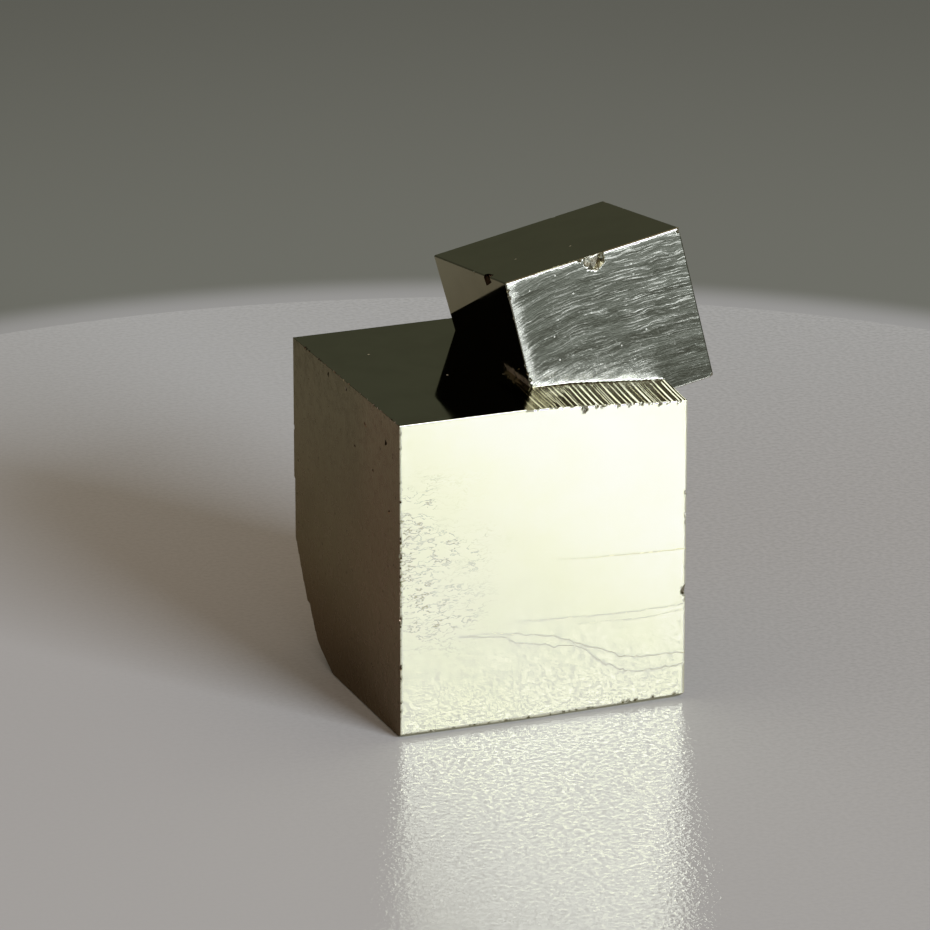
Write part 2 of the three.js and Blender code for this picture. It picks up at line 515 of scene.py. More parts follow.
def listed_flakes(flakes, sides, centre, material, turned=True):
    """The flakes of a list, placed on a crystal."""
    made = []
    for radius, stretch, share in flakes:
        at = centre + Vector(part * side for part, side in zip(share, sides))
        made.append(add_flake(radius * MM, stretch, at, len(made) + 1, material, turned))
    return made


def nicks_along(start, end, count, seed, material):
    """Small nicks scattered along one edge."""
    chance = random.Random(seed)
    made = []
    for number in range(count):
        radius = (0.05 + 0.15 * chance.random() ** 2) * MM
        at = start.lerp(end, chance.random())
        made.append(add_flake(radius, (1, 1, 1), at, 100 * seed + number, material))
    return made


def scattered_nicks(count, seed, sides, centre, material):
    """Small nicks scattered along all the edges of a crystal."""
    chance = random.Random(seed)
    made = []
    for number in range(count):
        along = chance.randrange(3)
        share = [chance.choice((-0.503, 0.503)) for axis in range(3)]
        share[along] = chance.uniform(-0.48, 0.48)
        radius = (0.06 + 0.2 * chance.random() ** 3) * MM
        stretch = [1.0, 1.0, 1.0]
        stretch[along] = chance.uniform(1.0, 2.2)
        at = centre + Vector(part * side for part, side in zip(share, sides))
        made.append(add_flake(radius, stretch, at, 100 * seed + number, material))
    return made


def irregular(number, seed):
    """A fixed irregularity between -1 and 1, so that repeats are not all alike."""
    return math.sin(12.9898 * number + 78.233 * seed)


def heel_cutter(sizes, material):
    """What the slanting heel leaves out behind and under it, with low steps on both facets."""
    profile = [Vector((0, y, z)) for y, z in HEEL_BASE]
    for seed, (foot, head, steps) in enumerate(HEEL_FACETS, start=6):
        foot = Vector((0, *foot))
        head = Vector((0, *head))
        profile.append(foot)
        for step in range(1, steps):
            edge = foot.lerp(head, (step + 0.3 * irregular(step, seed)) / steps)
            profile += [edge, edge + HEEL_STEP * Y]
        profile.append(head)
    behind = profile[-1].y + OVERCUT / MM
    outline = [*profile, Vector((0, behind, profile[-1].z)), Vector((0, behind, -OVERCUT / MM))]
    outline.append(Vector((0, profile[0].y, -OVERCUT / MM)))
    start = -0.5 * sizes.large[0] - OVERCUT
    outline = [point * MM + start * X for point in outline]
    return draw_prism("heel_cutter", outline, [-2 * start * X], material)


# Low striae where the top is still level: start, end and depth in millimetres, and the slope of their fade
LEVEL_STRIAE = (-1.65, 6.0, 0.06)
LEVEL_FADE = math.radians(0.45)

# How the striae drift to the right on their way back: pairs of a drift and a run in millimetres
STRIAE_BENDS = [(0.0, 4.0), (0.04, 1.6), (0.08, 1.6), (0.1, 1.6), (0.12, 1.6), (0.12, 30.0)]

# How uneven the striae are: width and riser as shares, and the slope of a crest in degrees
STRIAE_WIDTHS = (0.35, 1.6)
STRIAE_RISERS = (0.18, 0.4)
STRIAE_SLOPES = (0.3, 4)
STRIP_SEED = 7
LEVEL_SEED = 8


def strip_slope(sizes):
    """How steeply the striated strip falls to the right."""
    return sizes.striae_drop / (0.5 * sizes.large[0] - sizes.striae_start)


def strip_height(sizes, x, y):
    """Height of the striated strip's crests at a place on the top."""
    fall = strip_slope(sizes) * (x - sizes.striae_start)
    rise = math.tan(sizes.striae_fade) * (y + 0.5 * sizes.large[1])
    return sizes.large[2] - fall + rise


def striae_cutter(sizes, start, span, slope, sunk, lean, seed, material):
    """Everything above a stepped line on the right of the top, hinged at the front edge."""
    chance = random.Random(seed)
    x = 0.0
    steps = [Vector((x, 0, -sunk))]
    while x < span:
        width = sizes.striae_width * chance.uniform(*STRIAE_WIDTHS)
        riser = width * chance.uniform(*STRIAE_RISERS)
        crest = steps[-1].z + (width - riser) * math.tan(math.radians(chance.uniform(*STRIAE_SLOPES)))
        x += width
        steps.append(Vector((x - riser, 0, crest)))
        steps.append(Vector((x, 0, -sunk - slope * x)))
    end = steps[-1].x + 0.1 * MM
    outline = [*steps, Vector((end, 0, OVERCUT)), Vector((0, 0, OVERCUT))]
    runs = [Vector((drift * MM, run * MM, 0)) for drift, run in STRIAE_BENDS]
    cutter = draw_prism(f"striae_cutter_{seed}", [point - OVERCUT * Y for point in outline], runs, material)
    hinge = Vector((start, -0.5 * sizes.large[1], sizes.large[2]))
    place(cutter, Euler((lean, 0, 0)), hinge)
    return cutter


def smooth_line(knots, steps):
    """Points along a curve that runs smoothly through the knots."""
    points = []
    spans = len(knots) - 1
    for step in range(steps + 1):
        along = step * spans / steps
        span = min(int(along), spans - 1)
        t = along - span
        before = knots[max(span - 1, 0)]
        start = knots[span]
        end = knots[span + 1]
        after = knots[min(span + 2, spans)]
        pull = (end - before) * 0.5
        push = (after - start) * 0.5
        bend = (start - end) * 2 + pull + push
        ease = (end - start) * 3 - pull * 2 - push
        points.append(((bend * t + ease) * t + pull) * t + start)
    return points


def ledge_cutter(sizes, ledge, material):
    """A thin wedge under a ledge's line, deeper the further the line runs."""
    turn, depth, band, line = ledge
    sideways = turn % 180 != 0
    across = sizes.large[1] if sideways else sizes.large[0]
    face_at = 0.5 * (sizes.large[0] if sideways else sizes.large[1])
    knots = [Vector(((s - 0.5) * across, 0, t * sizes.large[2])) for s, t in line]
    curve = smooth_line(knots, LEDGE_STEPS)
    waves = min(LEDGE_WAVE_GROWTH * depth, 1) * LEDGE_WAVES * MM
    for point in curve[1:]:
        spot = Vector((point.x / MM / LEDGE_WAVE_LENGTH, 0.37 + turn, 100 * line[0][0]))
        point.z += waves * noise.fractal(spot, 0.6, 2.5, 3)
    start = curve[0].x
    end = 0.5 * across + OVERCUT
    below = [Vector((end, 0, curve[-1].z)), Vector((end, 0, -OVERCUT)), Vector((start, 0, -OVERCUT))]
    outline = [point - start * X for point in (*curve, *below)]
    slope = Vector((0, -2 * depth, 2 * band)) * MM
    cutter = draw_prism(f"ledge_cutter_{turn}", outline, [slope], material)
    wedge = math.atan2(depth * MM, 0.5 * across - start)
    place(cutter, Euler((0, 0, wedge)), Vector((start, -face_at - LEDGE_CLEARANCE * MM, 0)))
    place(cutter, Euler((0, 0, math.radians(turn))), Vector((0, 0, 0)))
    return cutter


def small_axes(sizes):
    """The small crystal's own frame: from its own axes to the specimen's."""
    return Matrix.LocRotScale(Vector(sizes.small_centre), Euler(sizes.small_turn), None)


class SPECIMEN_OT_large_crystal(bpy.types.Operator):
    """Models the large cube with its heel, striae, ledges, chips and pits"""

    bl_idname = "specimen.large_crystal"
    bl_label = "Large Crystal"

    def execute(self, context):
        sizes = context.scene.crystal_sizes
        face = finish_material("pyrite_mirror")
        stepped = finish_material("pyrite_stepped")
        broken = finish_material("pyrite_broken")
        tarnished = finish_material("pyrite_tarnished")
        sides = Vector(sizes.large)
        centre = 0.5 * sides.z * Z
        large = add_block("large_crystal", sides, centre, face)
        wear_edges(large, sizes.large_wear)
        for share, rise, normal in BASE_WEAR:
            edge = Vector((share[0] * sides.x, share[1] * sides.y, rise * MM))
            slice_off(large, edge, Vector(normal).normalized())
        cutters = [heel_cutter(sizes, stepped), *self.striae(sizes, stepped)]
        for cutter in cutters:
            combine(large, cutter, "DIFFERENCE")
        for ledge in LEDGES:
            combine(large, ledge_cutter(sizes, ledge, face), "DIFFERENCE")
        flakes = listed_flakes(LARGE_FLAKES, sides, centre, broken)
        flakes += scattered_nicks(*LARGE_NICKS, sides, centre, broken)
        flakes += self.pits_and_notches(sizes, sides, tarnished, broken)
        front = -0.5 * sides.y
        left = -0.5 * sides.x
        bottom = [Vector((x * sides.x, front, z * MM)) for x, z in BOTTOM_EDGE]
        for nicks, start, end in zip(BOTTOM_NICKS, bottom, bottom[1:]):
            flakes += nicks_along(start, end, *nicks, broken)
        rim = [Vector((left, y * sides.y, sides.z)) for y in (0.5, -0.5)]
        flakes += nicks_along(*rim, *LEFT_RIM_NICKS, tarnished)
        edge = [Vector((left, front, z * sides.z)) for z in (0.02, 1.0)]
        flakes += nicks_along(*edge, *LEFT_EDGE_NICKS, tarnished)
        strip = [Vector((x, front, strip_height(sizes, x, front))) for x in (0, 0.5 * sides.x)]
        flakes += nicks_along(*strip, *STRIP_NICKS, broken)
        strike_off(large, flakes)
        return {"FINISHED"}

    def striae(self, sizes, material):
        """Cutters for the striae of the sloping strip and of the level top beside it."""
        start = sizes.striae_start
        span = 0.5 * sizes.large[0] - start + MM
        slope = strip_slope(sizes)
        strip = striae_cutter(sizes, start, span, slope, 0, sizes.striae_fade, STRIP_SEED, material)
        start, end, sunk = (size * MM for size in LEVEL_STRIAE)
        level = striae_cutter(sizes, start, end - start, 0, sunk, LEVEL_FADE, LEVEL_SEED, material)
        return strip, level

    def pits_and_notches(self, sizes, sides, tarnished, broken):
        """Flakes for the pits of the left face and the notches in the strip's front edge."""
        made = []
        for number, (radius, depth, height) in enumerate(LEFT_PITS):
            outside = -0.5 * sides.x - PIT_OFFSET * radius * MM
            pit = Vector((outside, depth * sides.y, (0.5 + height) * sides.z))
            made.append(add_flake(PIT_SIZE * radius * MM, PIT_STRETCH, pit, PIT_SEED + number, tarnished))
        for number, (radius, drop, share) in enumerate(STRIP_NOTCHES):
            x = (share - 0.5) * sides.x
            y = -0.5 * sides.y
            notch = Vector((x, y, strip_height(sizes, x, y) - 0.5 * drop * MM))
            stretch = (NOTCH_WIDTH, NOTCH_DEPTH, 0.7 + 0.4 * drop / radius)
            made.append(add_flake(radius * MM, stretch, notch, NOTCH_SEED + number, broken, turned=False))
        return made


class SPECIMEN_OT_small_crystal(bpy.types.Operator):
    """Models the small cube with its tapered back and chips, and leans it into place"""

    bl_idname = "specimen.small_crystal"
    bl_label = "Small Crystal"

    def execute(self, context):
        sizes = context.scene.crystal_sizes
        face = finish_material("pyrite_mirror")
        broken = finish_material("pyrite_broken")
        sides = Vector(sizes.small)
        middle = Vector((0, 0, 0))
        small = add_block("small_crystal", sides, middle, face)
        with edit_mode(small) as mesh:
            for vertex in mesh.verts:
                vertex.select_set(vertex.co.y > 0 and vertex.co.z < 0)
            mesh.select_flush(True)
            bmesh.update_edit_mesh(small.data)
            bpy.ops.transform.translate(value=(0, -sizes.small_taper, 0))
        wear_edges(small, sizes.small_wear)
        flakes = listed_flakes(SMALL_FLAKES, sides, middle, broken)
        flakes += listed_flakes(EDGE_CHIP, sides, middle, broken, turned=False)
        flakes += listed_flakes(DARK_PIT, sides, middle, finish_material("pyrite_tarnished"))
        strike_off(small, flakes + scattered_nicks(*SMALL_NICKS, sides, middle, broken))
        place(small, Euler(sizes.small_turn), Vector(sizes.small_centre))
        return {"FINISHED"}


def grid_faces(piece, wanted, normal, places):
    """Slices the wanted faces by parallel planes, so that they can carry relief."""
    with edit_mode(piece) as mesh:
        bpy.ops.mesh.select_mode(type="FACE")
        for face in mesh.faces:
            face.select_set(wanted(face))
        bmesh.update_edit_mesh(piece.data)
        bpy.ops.mesh.hide(unselected=True)
        for point in places:
            bpy.ops.mesh.select_all(action="SELECT")
            bpy.ops.mesh.bisect(plane_co=point, plane_no=normal, threshold=CUT_TOLERANCE)
        bpy.ops.mesh.reveal(select=False)


def evenly(start, end, spacing):
    """Numbers between two ends, about a spacing apart."""
    count = max(round((end - start) / spacing), 1)
    return [start + (end - start) * step / count for step in range(1, count)]


def raise_relief(piece, wanted, outward, height):
    """Moves the points of the wanted faces outwards by a height that depends on their place."""
    with edit_mode(piece) as mesh:
        points = {vertex for face in mesh.faces if wanted(face) for vertex in face.verts}
        rims = {vertex for vertex in points if not all(wanted(face) for face in vertex.link_faces)}
        moves = [(vertex, outward * height(vertex.co, vertex in rims)) for vertex in points]
        for vertex, move in moves:
            vertex.co += move
        bmesh.update_edit_mesh(piece.data)


def ease(value, start, end):
    """A smooth change from 0 at the start to 1 at the end."""
    share = min(max((value - start) / (end - start), 0.0), 1.0)
    return share * share * (3 - 2 * share)


def wrinkling(sizes, point):
    """How wrinkled the large cube's front is at a place: most in the middle of its left side."""
    across = point.x / MM + 0.5 * sizes.large[0] / MM
    up = point.z / MM
    across += 3 * noise.noise(Vector((across / 5, 5, up / 3)))
    up += 2.5 * noise.noise(Vector((across / 4, 9, up / 4)))
    sideways = 1 - ease(across, -3.0, 13.0)
    upright = ease(up, 3.0, 11.0) * (1 - ease(up, 16.0, 27.0))
    return sideways * upright


# Height of the large cube's front in millimetres: its slight swell, and its growth lines
FRONT_SWELL = 0.006
FRONT_LINES = 0.0015


def front_height(point):
    """Height of the large cube's front above its plane, in metres."""
    x = point.x / MM
    z = point.z / MM
    swell = noise.fractal(Vector((x / 9, 2, z / 7)), 1.0, 2.0, 2)
    lines = noise.fractal(Vector((x / 9 + 0.4 * swell, 7, z / 0.9)), 1.0, 2.0, 3)
    return (FRONT_SWELL * swell + FRONT_LINES * lines) * MM


# Faces smaller than this belong to the grids that carry relief, and are shaded smooth
GRID_FACE = 0.1 * MM * MM

# The arch of the streaks on the small cube's front: where its top is, in millimetres, and its two bends
STREAK_ARCH_TOP = 6.8
STREAK_ARCH_LEFT = 0.022
STREAK_ARCH_RIGHT = 0.004

# Relief of the small cube's front in millimetres: worn rims, flared foot, broad streaks and mottle
LEFT_RIM_WEAR = 0.015
TOP_RIM_WEAR = 0.045
RIGHT_RIM_WEAR = 0.03
FOOT_FLARE = 0.03
STREAK_RELIEF = 0.006
MOTTLE_RELIEF = 0.002


def streak_place(sizes, own):
    """A place on the small cube's front in millimetres: along it, up it, and across the arched streaks."""
    along = (own.x + 0.5 * sizes.small[0]) / MM
    up = (own.z + 0.5 * sizes.small[2]) / MM
    arch = STREAK_ARCH_LEFT if along < STREAK_ARCH_TOP else STREAK_ARCH_RIGHT
    return along, up, up + arch * (along - STREAK_ARCH_TOP) ** 2


def seam_height(sizes, point):
    """How far above the striated strip a place is, in millimetres, and whether it is over the strip."""
    foot = max((point.z - strip_height(sizes, point.x, point.y)) / MM, 0.0)
    beside = 0.5 * sizes.large[0] / MM - point.x / MM
    return foot, ease(beside, -0.2, 1.2)


def streak_height(sizes, back, point, on_rim):
    """Height of the small cube's front above its plane, in metres: streaks, worn rims and a flared foot."""
    along, up, across = streak_place(sizes, back @ point)
    top = sizes.small[2] / MM - up
    ragged = 0.65 + 0.6 * noise.noise(Vector((along / 0.5, 61, 0)))
    rim = -LEFT_RIM_WEAR * math.exp(-along / 0.2) - TOP_RIM_WEAR * ragged * math.exp(-top / 0.15)
    rim -= RIGHT_RIM_WEAR * math.exp(-(sizes.small[0] / MM - along) / 0.2)
    foot, beside = seam_height(sizes, point)
    rim += FOOT_FLARE * beside * ragged * math.exp(-foot / 0.2)
    if on_rim:
        return rim * MM
    wander = 0.25 * noise.noise(Vector((along / 2.2, 3, up / 1.5)))
    broad = noise.fractal(Vector((along / 8, 21, (across + wander) / 1.1)), 1.0, 2.0, 2)
    mottle = noise.fractal(Vector((along / 1.1, 51, up / 0.8)), 0.8, 2.0, 2)
    return (rim + STREAK_RELIEF * broad + MOTTLE_RELIEF * mottle) * MM


def wear_of_front(sizes, back, point):
    """How satin the small cube's front is at a place: most along its left edge and at its foot."""
    along, _, across = streak_place(sizes, back @ point)
    foot, beside = seam_height(sizes, point)
    patchy = 0.75 + 0.5 * noise.noise(Vector((along / 1.5, 71, across / 0.5)))
    left = math.exp(-((along / 0.8) ** 2))
    low = beside * math.exp(-foot / 1.5) * (0.7 + 0.2 * ease(along, 1.0, 6.0))
    return min(max(left, low) * patchy, 1.0)


class SPECIMEN_OT_grow_together(bpy.types.Operator):
    """Joins the crystals in one solid and models the fine relief of their front faces"""

    bl_idname = "specimen.grow_together"
    bl_label = "Grow Together"

    def execute(self, context):
        sizes = context.scene.crystal_sizes
        specimen = bpy.data.objects["large_crystal"]
        combine(specimen, bpy.data.objects["small_crystal"], "UNION")
        specimen.name = "pyrite_specimen"
        self.model_front(specimen, sizes)
        self.model_streaks(specimen, sizes)
        give_finishes(specimen, sizes)
        relief = {specimen.data.materials.find(name) for name in ("pyrite_bright", "pyrite_streaked")}
        choose(specimen)
        bpy.ops.object.shade_flat()
        with edit_mode(specimen) as mesh:
            for face in mesh.faces:
                face.select_set(face.calc_area() < GRID_FACE and face.material_index in relief)
            bmesh.update_edit_mesh(specimen.data)
            bpy.ops.mesh.faces_shade_smooth()
        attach(specimen, "root")
        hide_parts(CAD_NODE)
        return {"FINISHED"}

    def model_front(self, specimen, sizes):
        """Grids the large cube's front and swells it a little."""
        half = 0.5 * sizes.large[0]
        front = -0.5 * sizes.large[1]

        def on_front(face):
            return face.normal.y < -0.98 and face.calc_center_median().y < front + 0.25 * MM

        upright = [Vector((x, 0, 0)) for x in evenly(-half, half, sizes.front_grid)]
        level = [Vector((0, 0, z)) for z in evenly(0, sizes.large[2], sizes.front_grid)]
        grid_faces(specimen, on_front, X, upright)
        grid_faces(specimen, on_front, Z, level)
        raise_relief(specimen, on_front, -Y, lambda point, rim: front_height(point))

    def model_streaks(self, specimen, sizes):
        """Grids the small cube's front and models its streaks and worn rims."""
        axes = small_axes(sizes)
        back = axes.inverted()
        turn = axes.to_3x3()
        front = -0.5 * sizes.small[1]
        half = Vector(sizes.small) * 0.5

        def on_streaks(face):
            own = back @ face.calc_center_median()
            facing = (turn.inverted() @ face.normal).y < -0.9
            inside = abs(own.x) < half.x and abs(own.z) < half.z
            return facing and inside and abs(own.y - front) < 0.3 * MM

        across = [axes @ Vector((u, 0, 0)) for u in evenly(-half.x, half.x, sizes.streak_grid)]
        level = [axes @ Vector((0, 0, w)) for w in evenly(-half.z, half.z, sizes.streak_grid)]
        grid_faces(specimen, on_streaks, turn @ X, across)
        grid_faces(specimen, on_streaks, turn @ Z, level)
        raise_relief(
            specimen, on_streaks, turn @ -Y, lambda point, rim: streak_height(sizes, back, point, rim)
        )


def give_finishes(specimen, sizes):
    """Gives each face the finish of its place, and the coordinates and masks that the finishes read."""
    mesh = specimen.data
    for finish in ("mirror", "tarnished", "bright", "streaked", "smoky", "ledge"):
        name = f"pyrite_{finish}"
        if name not in mesh.materials:
            mesh.materials.append(finish_material(name))
    index = {material.name: number for number, material in enumerate(mesh.materials)}
    back = small_axes(sizes).inverted()
    turn = back.to_3x3()
    grain = mesh.uv_layers.new(name="grain")
    wrinkle = mesh.attributes.new("wrinkle", "FLOAT", "POINT")
    wrinkle.data.foreach_set("value", [wrinkling(sizes, vertex.co) for vertex in mesh.vertices])
    worn = mesh.attributes.new("worn", "FLOAT", "POINT")
    worn.data.foreach_set("value", [wear_of_front(sizes, back, vertex.co) for vertex in mesh.vertices])
    half = Vector(sizes.small) * 0.5
    for face in mesh.polygons:
        own = back @ face.center
        on_small = all(abs(own[axis]) < half[axis] + 0.3 * MM for axis in range(3))
        above = face.center.z > strip_height(sizes, face.center.x, face.center.y) - 0.1 * MM
        on_small = on_small and (above or face.center.x > 0.5 * sizes.large[0])
        facing = turn @ face.normal if on_small else face.normal
        axis = max(range(3), key=lambda number: abs(facing[number]))
        if mesh.materials[face.material_index].name == "pyrite_mirror":
            if axis == 1 and facing.y < 0 and not on_small and facing.z < -0.03:
                face.material_index = index["pyrite_ledge"]
            elif axis == 1 and facing.y < 0:
                face.material_index = index["pyrite_streaked" if on_small else "pyrite_bright"]
            elif axis == 0 and facing.x < 0:
                face.material_index = index["pyrite_smoky" if on_small else "pyrite_tarnished"]
        along = (axis + 2) % 3
        across = (axis + 1) % 3
        for corner in face.loop_indices:
            point = mesh.vertices[mesh.loops[corner].vertex_index].co
            above_top = (point.z - sizes.large[2]) / MM
            if on_small:
                point = back @ point
            place_on_face = (point[along] / MM, point[across] / MM)
            if face.material_index == index["pyrite_streaked"]:
                place_on_face = streak_place(sizes, point)[::2]
            elif face.material_index == index["pyrite_smoky"]:
                place_on_face = (above_top, point.y / MM)
            grain.data[corner].uv = place_on_face


def add_node(tree, kind, settings=(), **inputs):
    """A node with its settings made, and its inputs set or linked."""
    made = tree.nodes.new(kind)
    for name, value in dict(settings).items():
        setattr(made, name, value)
    for name, value in inputs.items():
        feed(tree, value, made.inputs[name.replace("_", " ")])
    return made


def feed(tree, value, socket):
    """Links a socket to an input, or sets the input to a value."""
    if isinstance(value, bpy.types.NodeSocket):
        tree.links.new(value, socket)
    else:
        socket.default_value = value


def calculate(tree, operation, *values):
    """A sum, product or other calculation of values."""
    made = add_node(tree, "ShaderNodeMath", {"operation": operation})
    for value, socket in zip(values, made.inputs):
        feed(tree, value, socket)
    return made.outputs[0]


def spread(tree, value, low, high, start=0.0, end=1.0):
    """A value changed smoothly from one range to another, and held at its ends."""
    settings = {"interpolation_type": "SMOOTHSTEP"}
    limits = {"From_Min": low, "From_Max": high, "To_Min": start, "To_Max": end}
    return add_node(tree, "ShaderNodeMapRange", settings, Value=value, **limits).outputs["Result"]


def product(tree, first, second):
    """The product of two values."""
    return calculate(tree, "MULTIPLY", first, second)


def cloud_noise(tree, place, scale, detail, roughness=0.5):
    """An uneven cloud of values about one half."""
    inputs = {"Scale": scale, "Detail": detail, "Roughness": roughness}
    return add_node(tree, "ShaderNodeTexNoise", Vector=place, **inputs).outputs["Fac"]


def parts_of(tree, place):
    """The X, Y and Z of a place."""
    return add_node(tree, "ShaderNodeSeparateXYZ", Vector=place).outputs


def vector_maths(tree, operation, first, second):
    """The outcome of a calculation with two vectors."""
    made = add_node(tree, "ShaderNodeVectorMath", {"operation": operation})
    feed(tree, first, made.inputs[0])
    feed(tree, second, made.inputs[1])
    return made.outputs


def blend(tree, share, first, second):
    """A mix of two colours."""
    made = add_node(tree, "ShaderNodeMix", {"data_type": "RGBA"}, Factor=share, A=first, B=second)
    return made.outputs["Result"]


def start_group(name, inputs, outputs):
    """A shader node group with named inputs and outputs, and its two end nodes."""
    group = bpy.data.node_groups.new(name, "ShaderNodeTree")
    for label, kind, value in inputs:
        socket = group.interface.new_socket(label, in_out="INPUT", socket_type=kind)
        if value is not None:
            socket.default_value = value
    for label, kind in outputs:
        group.interface.new_socket(label, in_out="OUTPUT", socket_type=kind)
    start = group.nodes.new("NodeGroupInput")
    end = group.nodes.new("NodeGroupOutput")
    return group, start.outputs, end.inputs


def use_group(tree, group, **inputs):
    """One use of a node group in a material."""
    made = tree.nodes.new("ShaderNodeGroup")
    made.node_tree = group
    for name, value in inputs.items():
        feed(tree, value, made.inputs[name.replace("_", " ")])
    return made.outputs


def growth_lines_group():
    """Lines that run along a face, as crystal growth leaves them."""
    if "growth_lines" in bpy.data.node_groups:
        return bpy.data.node_groups["growth_lines"]
    group, given, result = start_group(
        "growth_lines",
        [
            ("Vector", "NodeSocketVector", None),
            ("Length", "NodeSocketFloat", 8.0),
            ("Width", "NodeSocketFloat", 0.3),
            ("Waver", "NodeSocketFloat", 0.3),
        ],
        [("Height", "NodeSocketFloat")],
    )
    parts = parts_of(group, given["Vector"])
    sway = calculate(group, "SUBTRACT", cloud_noise(group, given["Vector"], 0.45, 2.0), 0.5)
    across = calculate(group, "ADD", parts["Y"], product(group, sway, given["Waver"]))
    along = calculate(group, "DIVIDE", parts["X"], given["Length"])
    across = calculate(group, "DIVIDE", across, given["Width"])
    stretched = add_node(group, "ShaderNodeCombineXYZ", X=along, Y=across).outputs["Vector"]
    group.links.new(cloud_noise(group, stretched, 1.0, 4.0, 0.6), result["Height"])
    return group


def wrinkles_group():
    """Fine wavy creases, where a face grew unevenly."""
    if "wrinkles" in bpy.data.node_groups:
        return bpy.data.node_groups["wrinkles"]
    group, given, result = start_group(
        "wrinkles",
        [
            ("Vector", "NodeSocketVector", None),
            ("Stretch", "NodeSocketVector", (0.7, 2.0, 1.0)),
            ("Scale", "NodeSocketFloat", 1.0),
        ],
        [("Height", "NodeSocketFloat")],
    )
    sway = add_node(group, "ShaderNodeTexNoise", Vector=given["Vector"], Scale=0.9, Detail=2.0)
    scaled = {"operation": "SCALE"}
    bent = add_node(group, "ShaderNodeVectorMath", scaled, Vector=sway.outputs["Color"], Scale=0.9)
    moved = vector_maths(group, "ADD", given["Vector"], bent.outputs["Vector"])["Vector"]
    stretched = vector_maths(group, "MULTIPLY", moved, given["Stretch"])["Vector"]
    folds = cloud_noise(group, stretched, given["Scale"], 3.0, 0.55)
    crease = calculate(group, "ABSOLUTE", calculate(group, "SUBTRACT", folds, 0.5))
    group.links.new(spread(group, crease, 0.0, 0.12), result["Height"])
    return group


def specks_group():
    """Scattered specks, as of pits or dust on a face."""
    if "specks" in bpy.data.node_groups:
        return bpy.data.node_groups["specks"]
    group, given, result = start_group(
        "specks",
        [
            ("Vector", "NodeSocketVector", None),
            ("Scale", "NodeSocketFloat", 2.0),
            ("Size", "NodeSocketFloat", 0.1),
            ("Share", "NodeSocketFloat", 0.1),
        ],
        [("Mask", "NodeSocketFloat")],
    )
    cells = add_node(group, "ShaderNodeTexVoronoi", Vector=given["Vector"], Scale=given["Scale"])
    near = calculate(group, "LESS_THAN", cells.outputs["Distance"], given["Size"])
    picked = calculate(group, "LESS_THAN", parts_of(group, cells.outputs["Color"])["X"], given["Share"])
    group.links.new(product(group, near, picked), result["Mask"])
    return group


def film_group():
    """Uneven patches, as of a thin tarnish."""
    if "film" in bpy.data.node_groups:
        return bpy.data.node_groups["film"]
    group, given, result = start_group(
        "film",
        [("Vector", "NodeSocketVector", None), ("Scale", "NodeSocketFloat", 0.2)],
        [("Mask", "NodeSocketFloat")],
    )
    cloud = cloud_noise(group, given["Vector"], given["Scale"], 6.0, 0.6)
    group.links.new(spread(group, cloud, 0.35, 0.7), result["Mask"])
    return group


def film_over(tree, grain, scale):
    """A mask of the uneven film on a face."""
    return use_group(tree, film_group(), Vector=grain, Scale=scale)["Mask"]


def specks_over(tree, grain, scale, size, share):
    """A mask of the specks on a face."""
    return use_group(tree, specks_group(), Vector=grain, Scale=scale, Size=size, Share=share)["Mask"]


def lines_over(tree, grain, length, width, waver):
    """The height of the growth lines on a face, with their length, width and waver in millimetres."""
    inputs = {"Length": length, "Width": width, "Waver": waver}
    return use_group(tree, growth_lines_group(), Vector=grain, **inputs)["Height"]


def new_material(name):
    """A new material, with its node tree and its shader."""
    material = bpy.data.materials.new(name)
    material.use_nodes = True
    return material, material.node_tree, material.node_tree.nodes["Principled BSDF"]


def finish_material(name):
    """One of the specimen's finishes, made the first time that it is asked for."""
    if name in bpy.data.materials:
        return bpy.data.materials[name]
    colours = bpy.context.scene.specimen_colours
    material, tree, shader = new_material(name)
    shader.inputs["Metallic"].default_value = 1.0
    shader.inputs["Specular Tint"].default_value = (*colours.edge_tint, 1)
    grain = add_node(tree, "ShaderNodeUVMap", {"uv_map": "grain"}).outputs["UV"]
    FINISHES[name](tree, shader, grain, colours)
    return material


def set_relief(tree, shader, *heights, socket="Normal"):
    """Feeds a sum of heights, each with its size in millimetres, to one of the shader's normals."""
    total = 0.0
    for height, size in heights:
        total = calculate(tree, "MULTIPLY_ADD", height, size, total)
    bump = add_node(tree, "ShaderNodeBump", Height=total, Strength=1.0, Distance=MM)
    tree.links.new(bump.outputs["Normal"], shader.inputs[socket])


def shade_of(colour, share):
    """A lighter or darker shade of a colour, with its alpha."""
    return (*(share * part for part in colour), 1)


FLECK_COLOUR = (0.8, 0.74, 0.6, 1)


def mirror_finish(tree, shader, grain, colours, share=1.0):
    """A clean mirror-bright face with faint growth lines."""
    film = film_over(tree, grain, 0.22)
    specks = specks_over(tree, grain, 0.55, 0.06, 0.3)
    tint = blend(tree, film, shade_of(colours.pyrite, share), shade_of(colours.pyrite, 0.9 * share))
    feed(tree, blend(tree, specks, tint, FLECK_COLOUR), shader.inputs["Base Color"])
    rough = spread(tree, film, 0.0, 1.0, 0.035, 0.07)
    feed(tree, calculate(tree, "MULTIPLY_ADD", specks, 0.5, rough), shader.inputs["Roughness"])
    lines = lines_over(tree, grain, 9.0, 0.5, 0.4)
    set_relief(tree, shader, (lines, 0.0015))


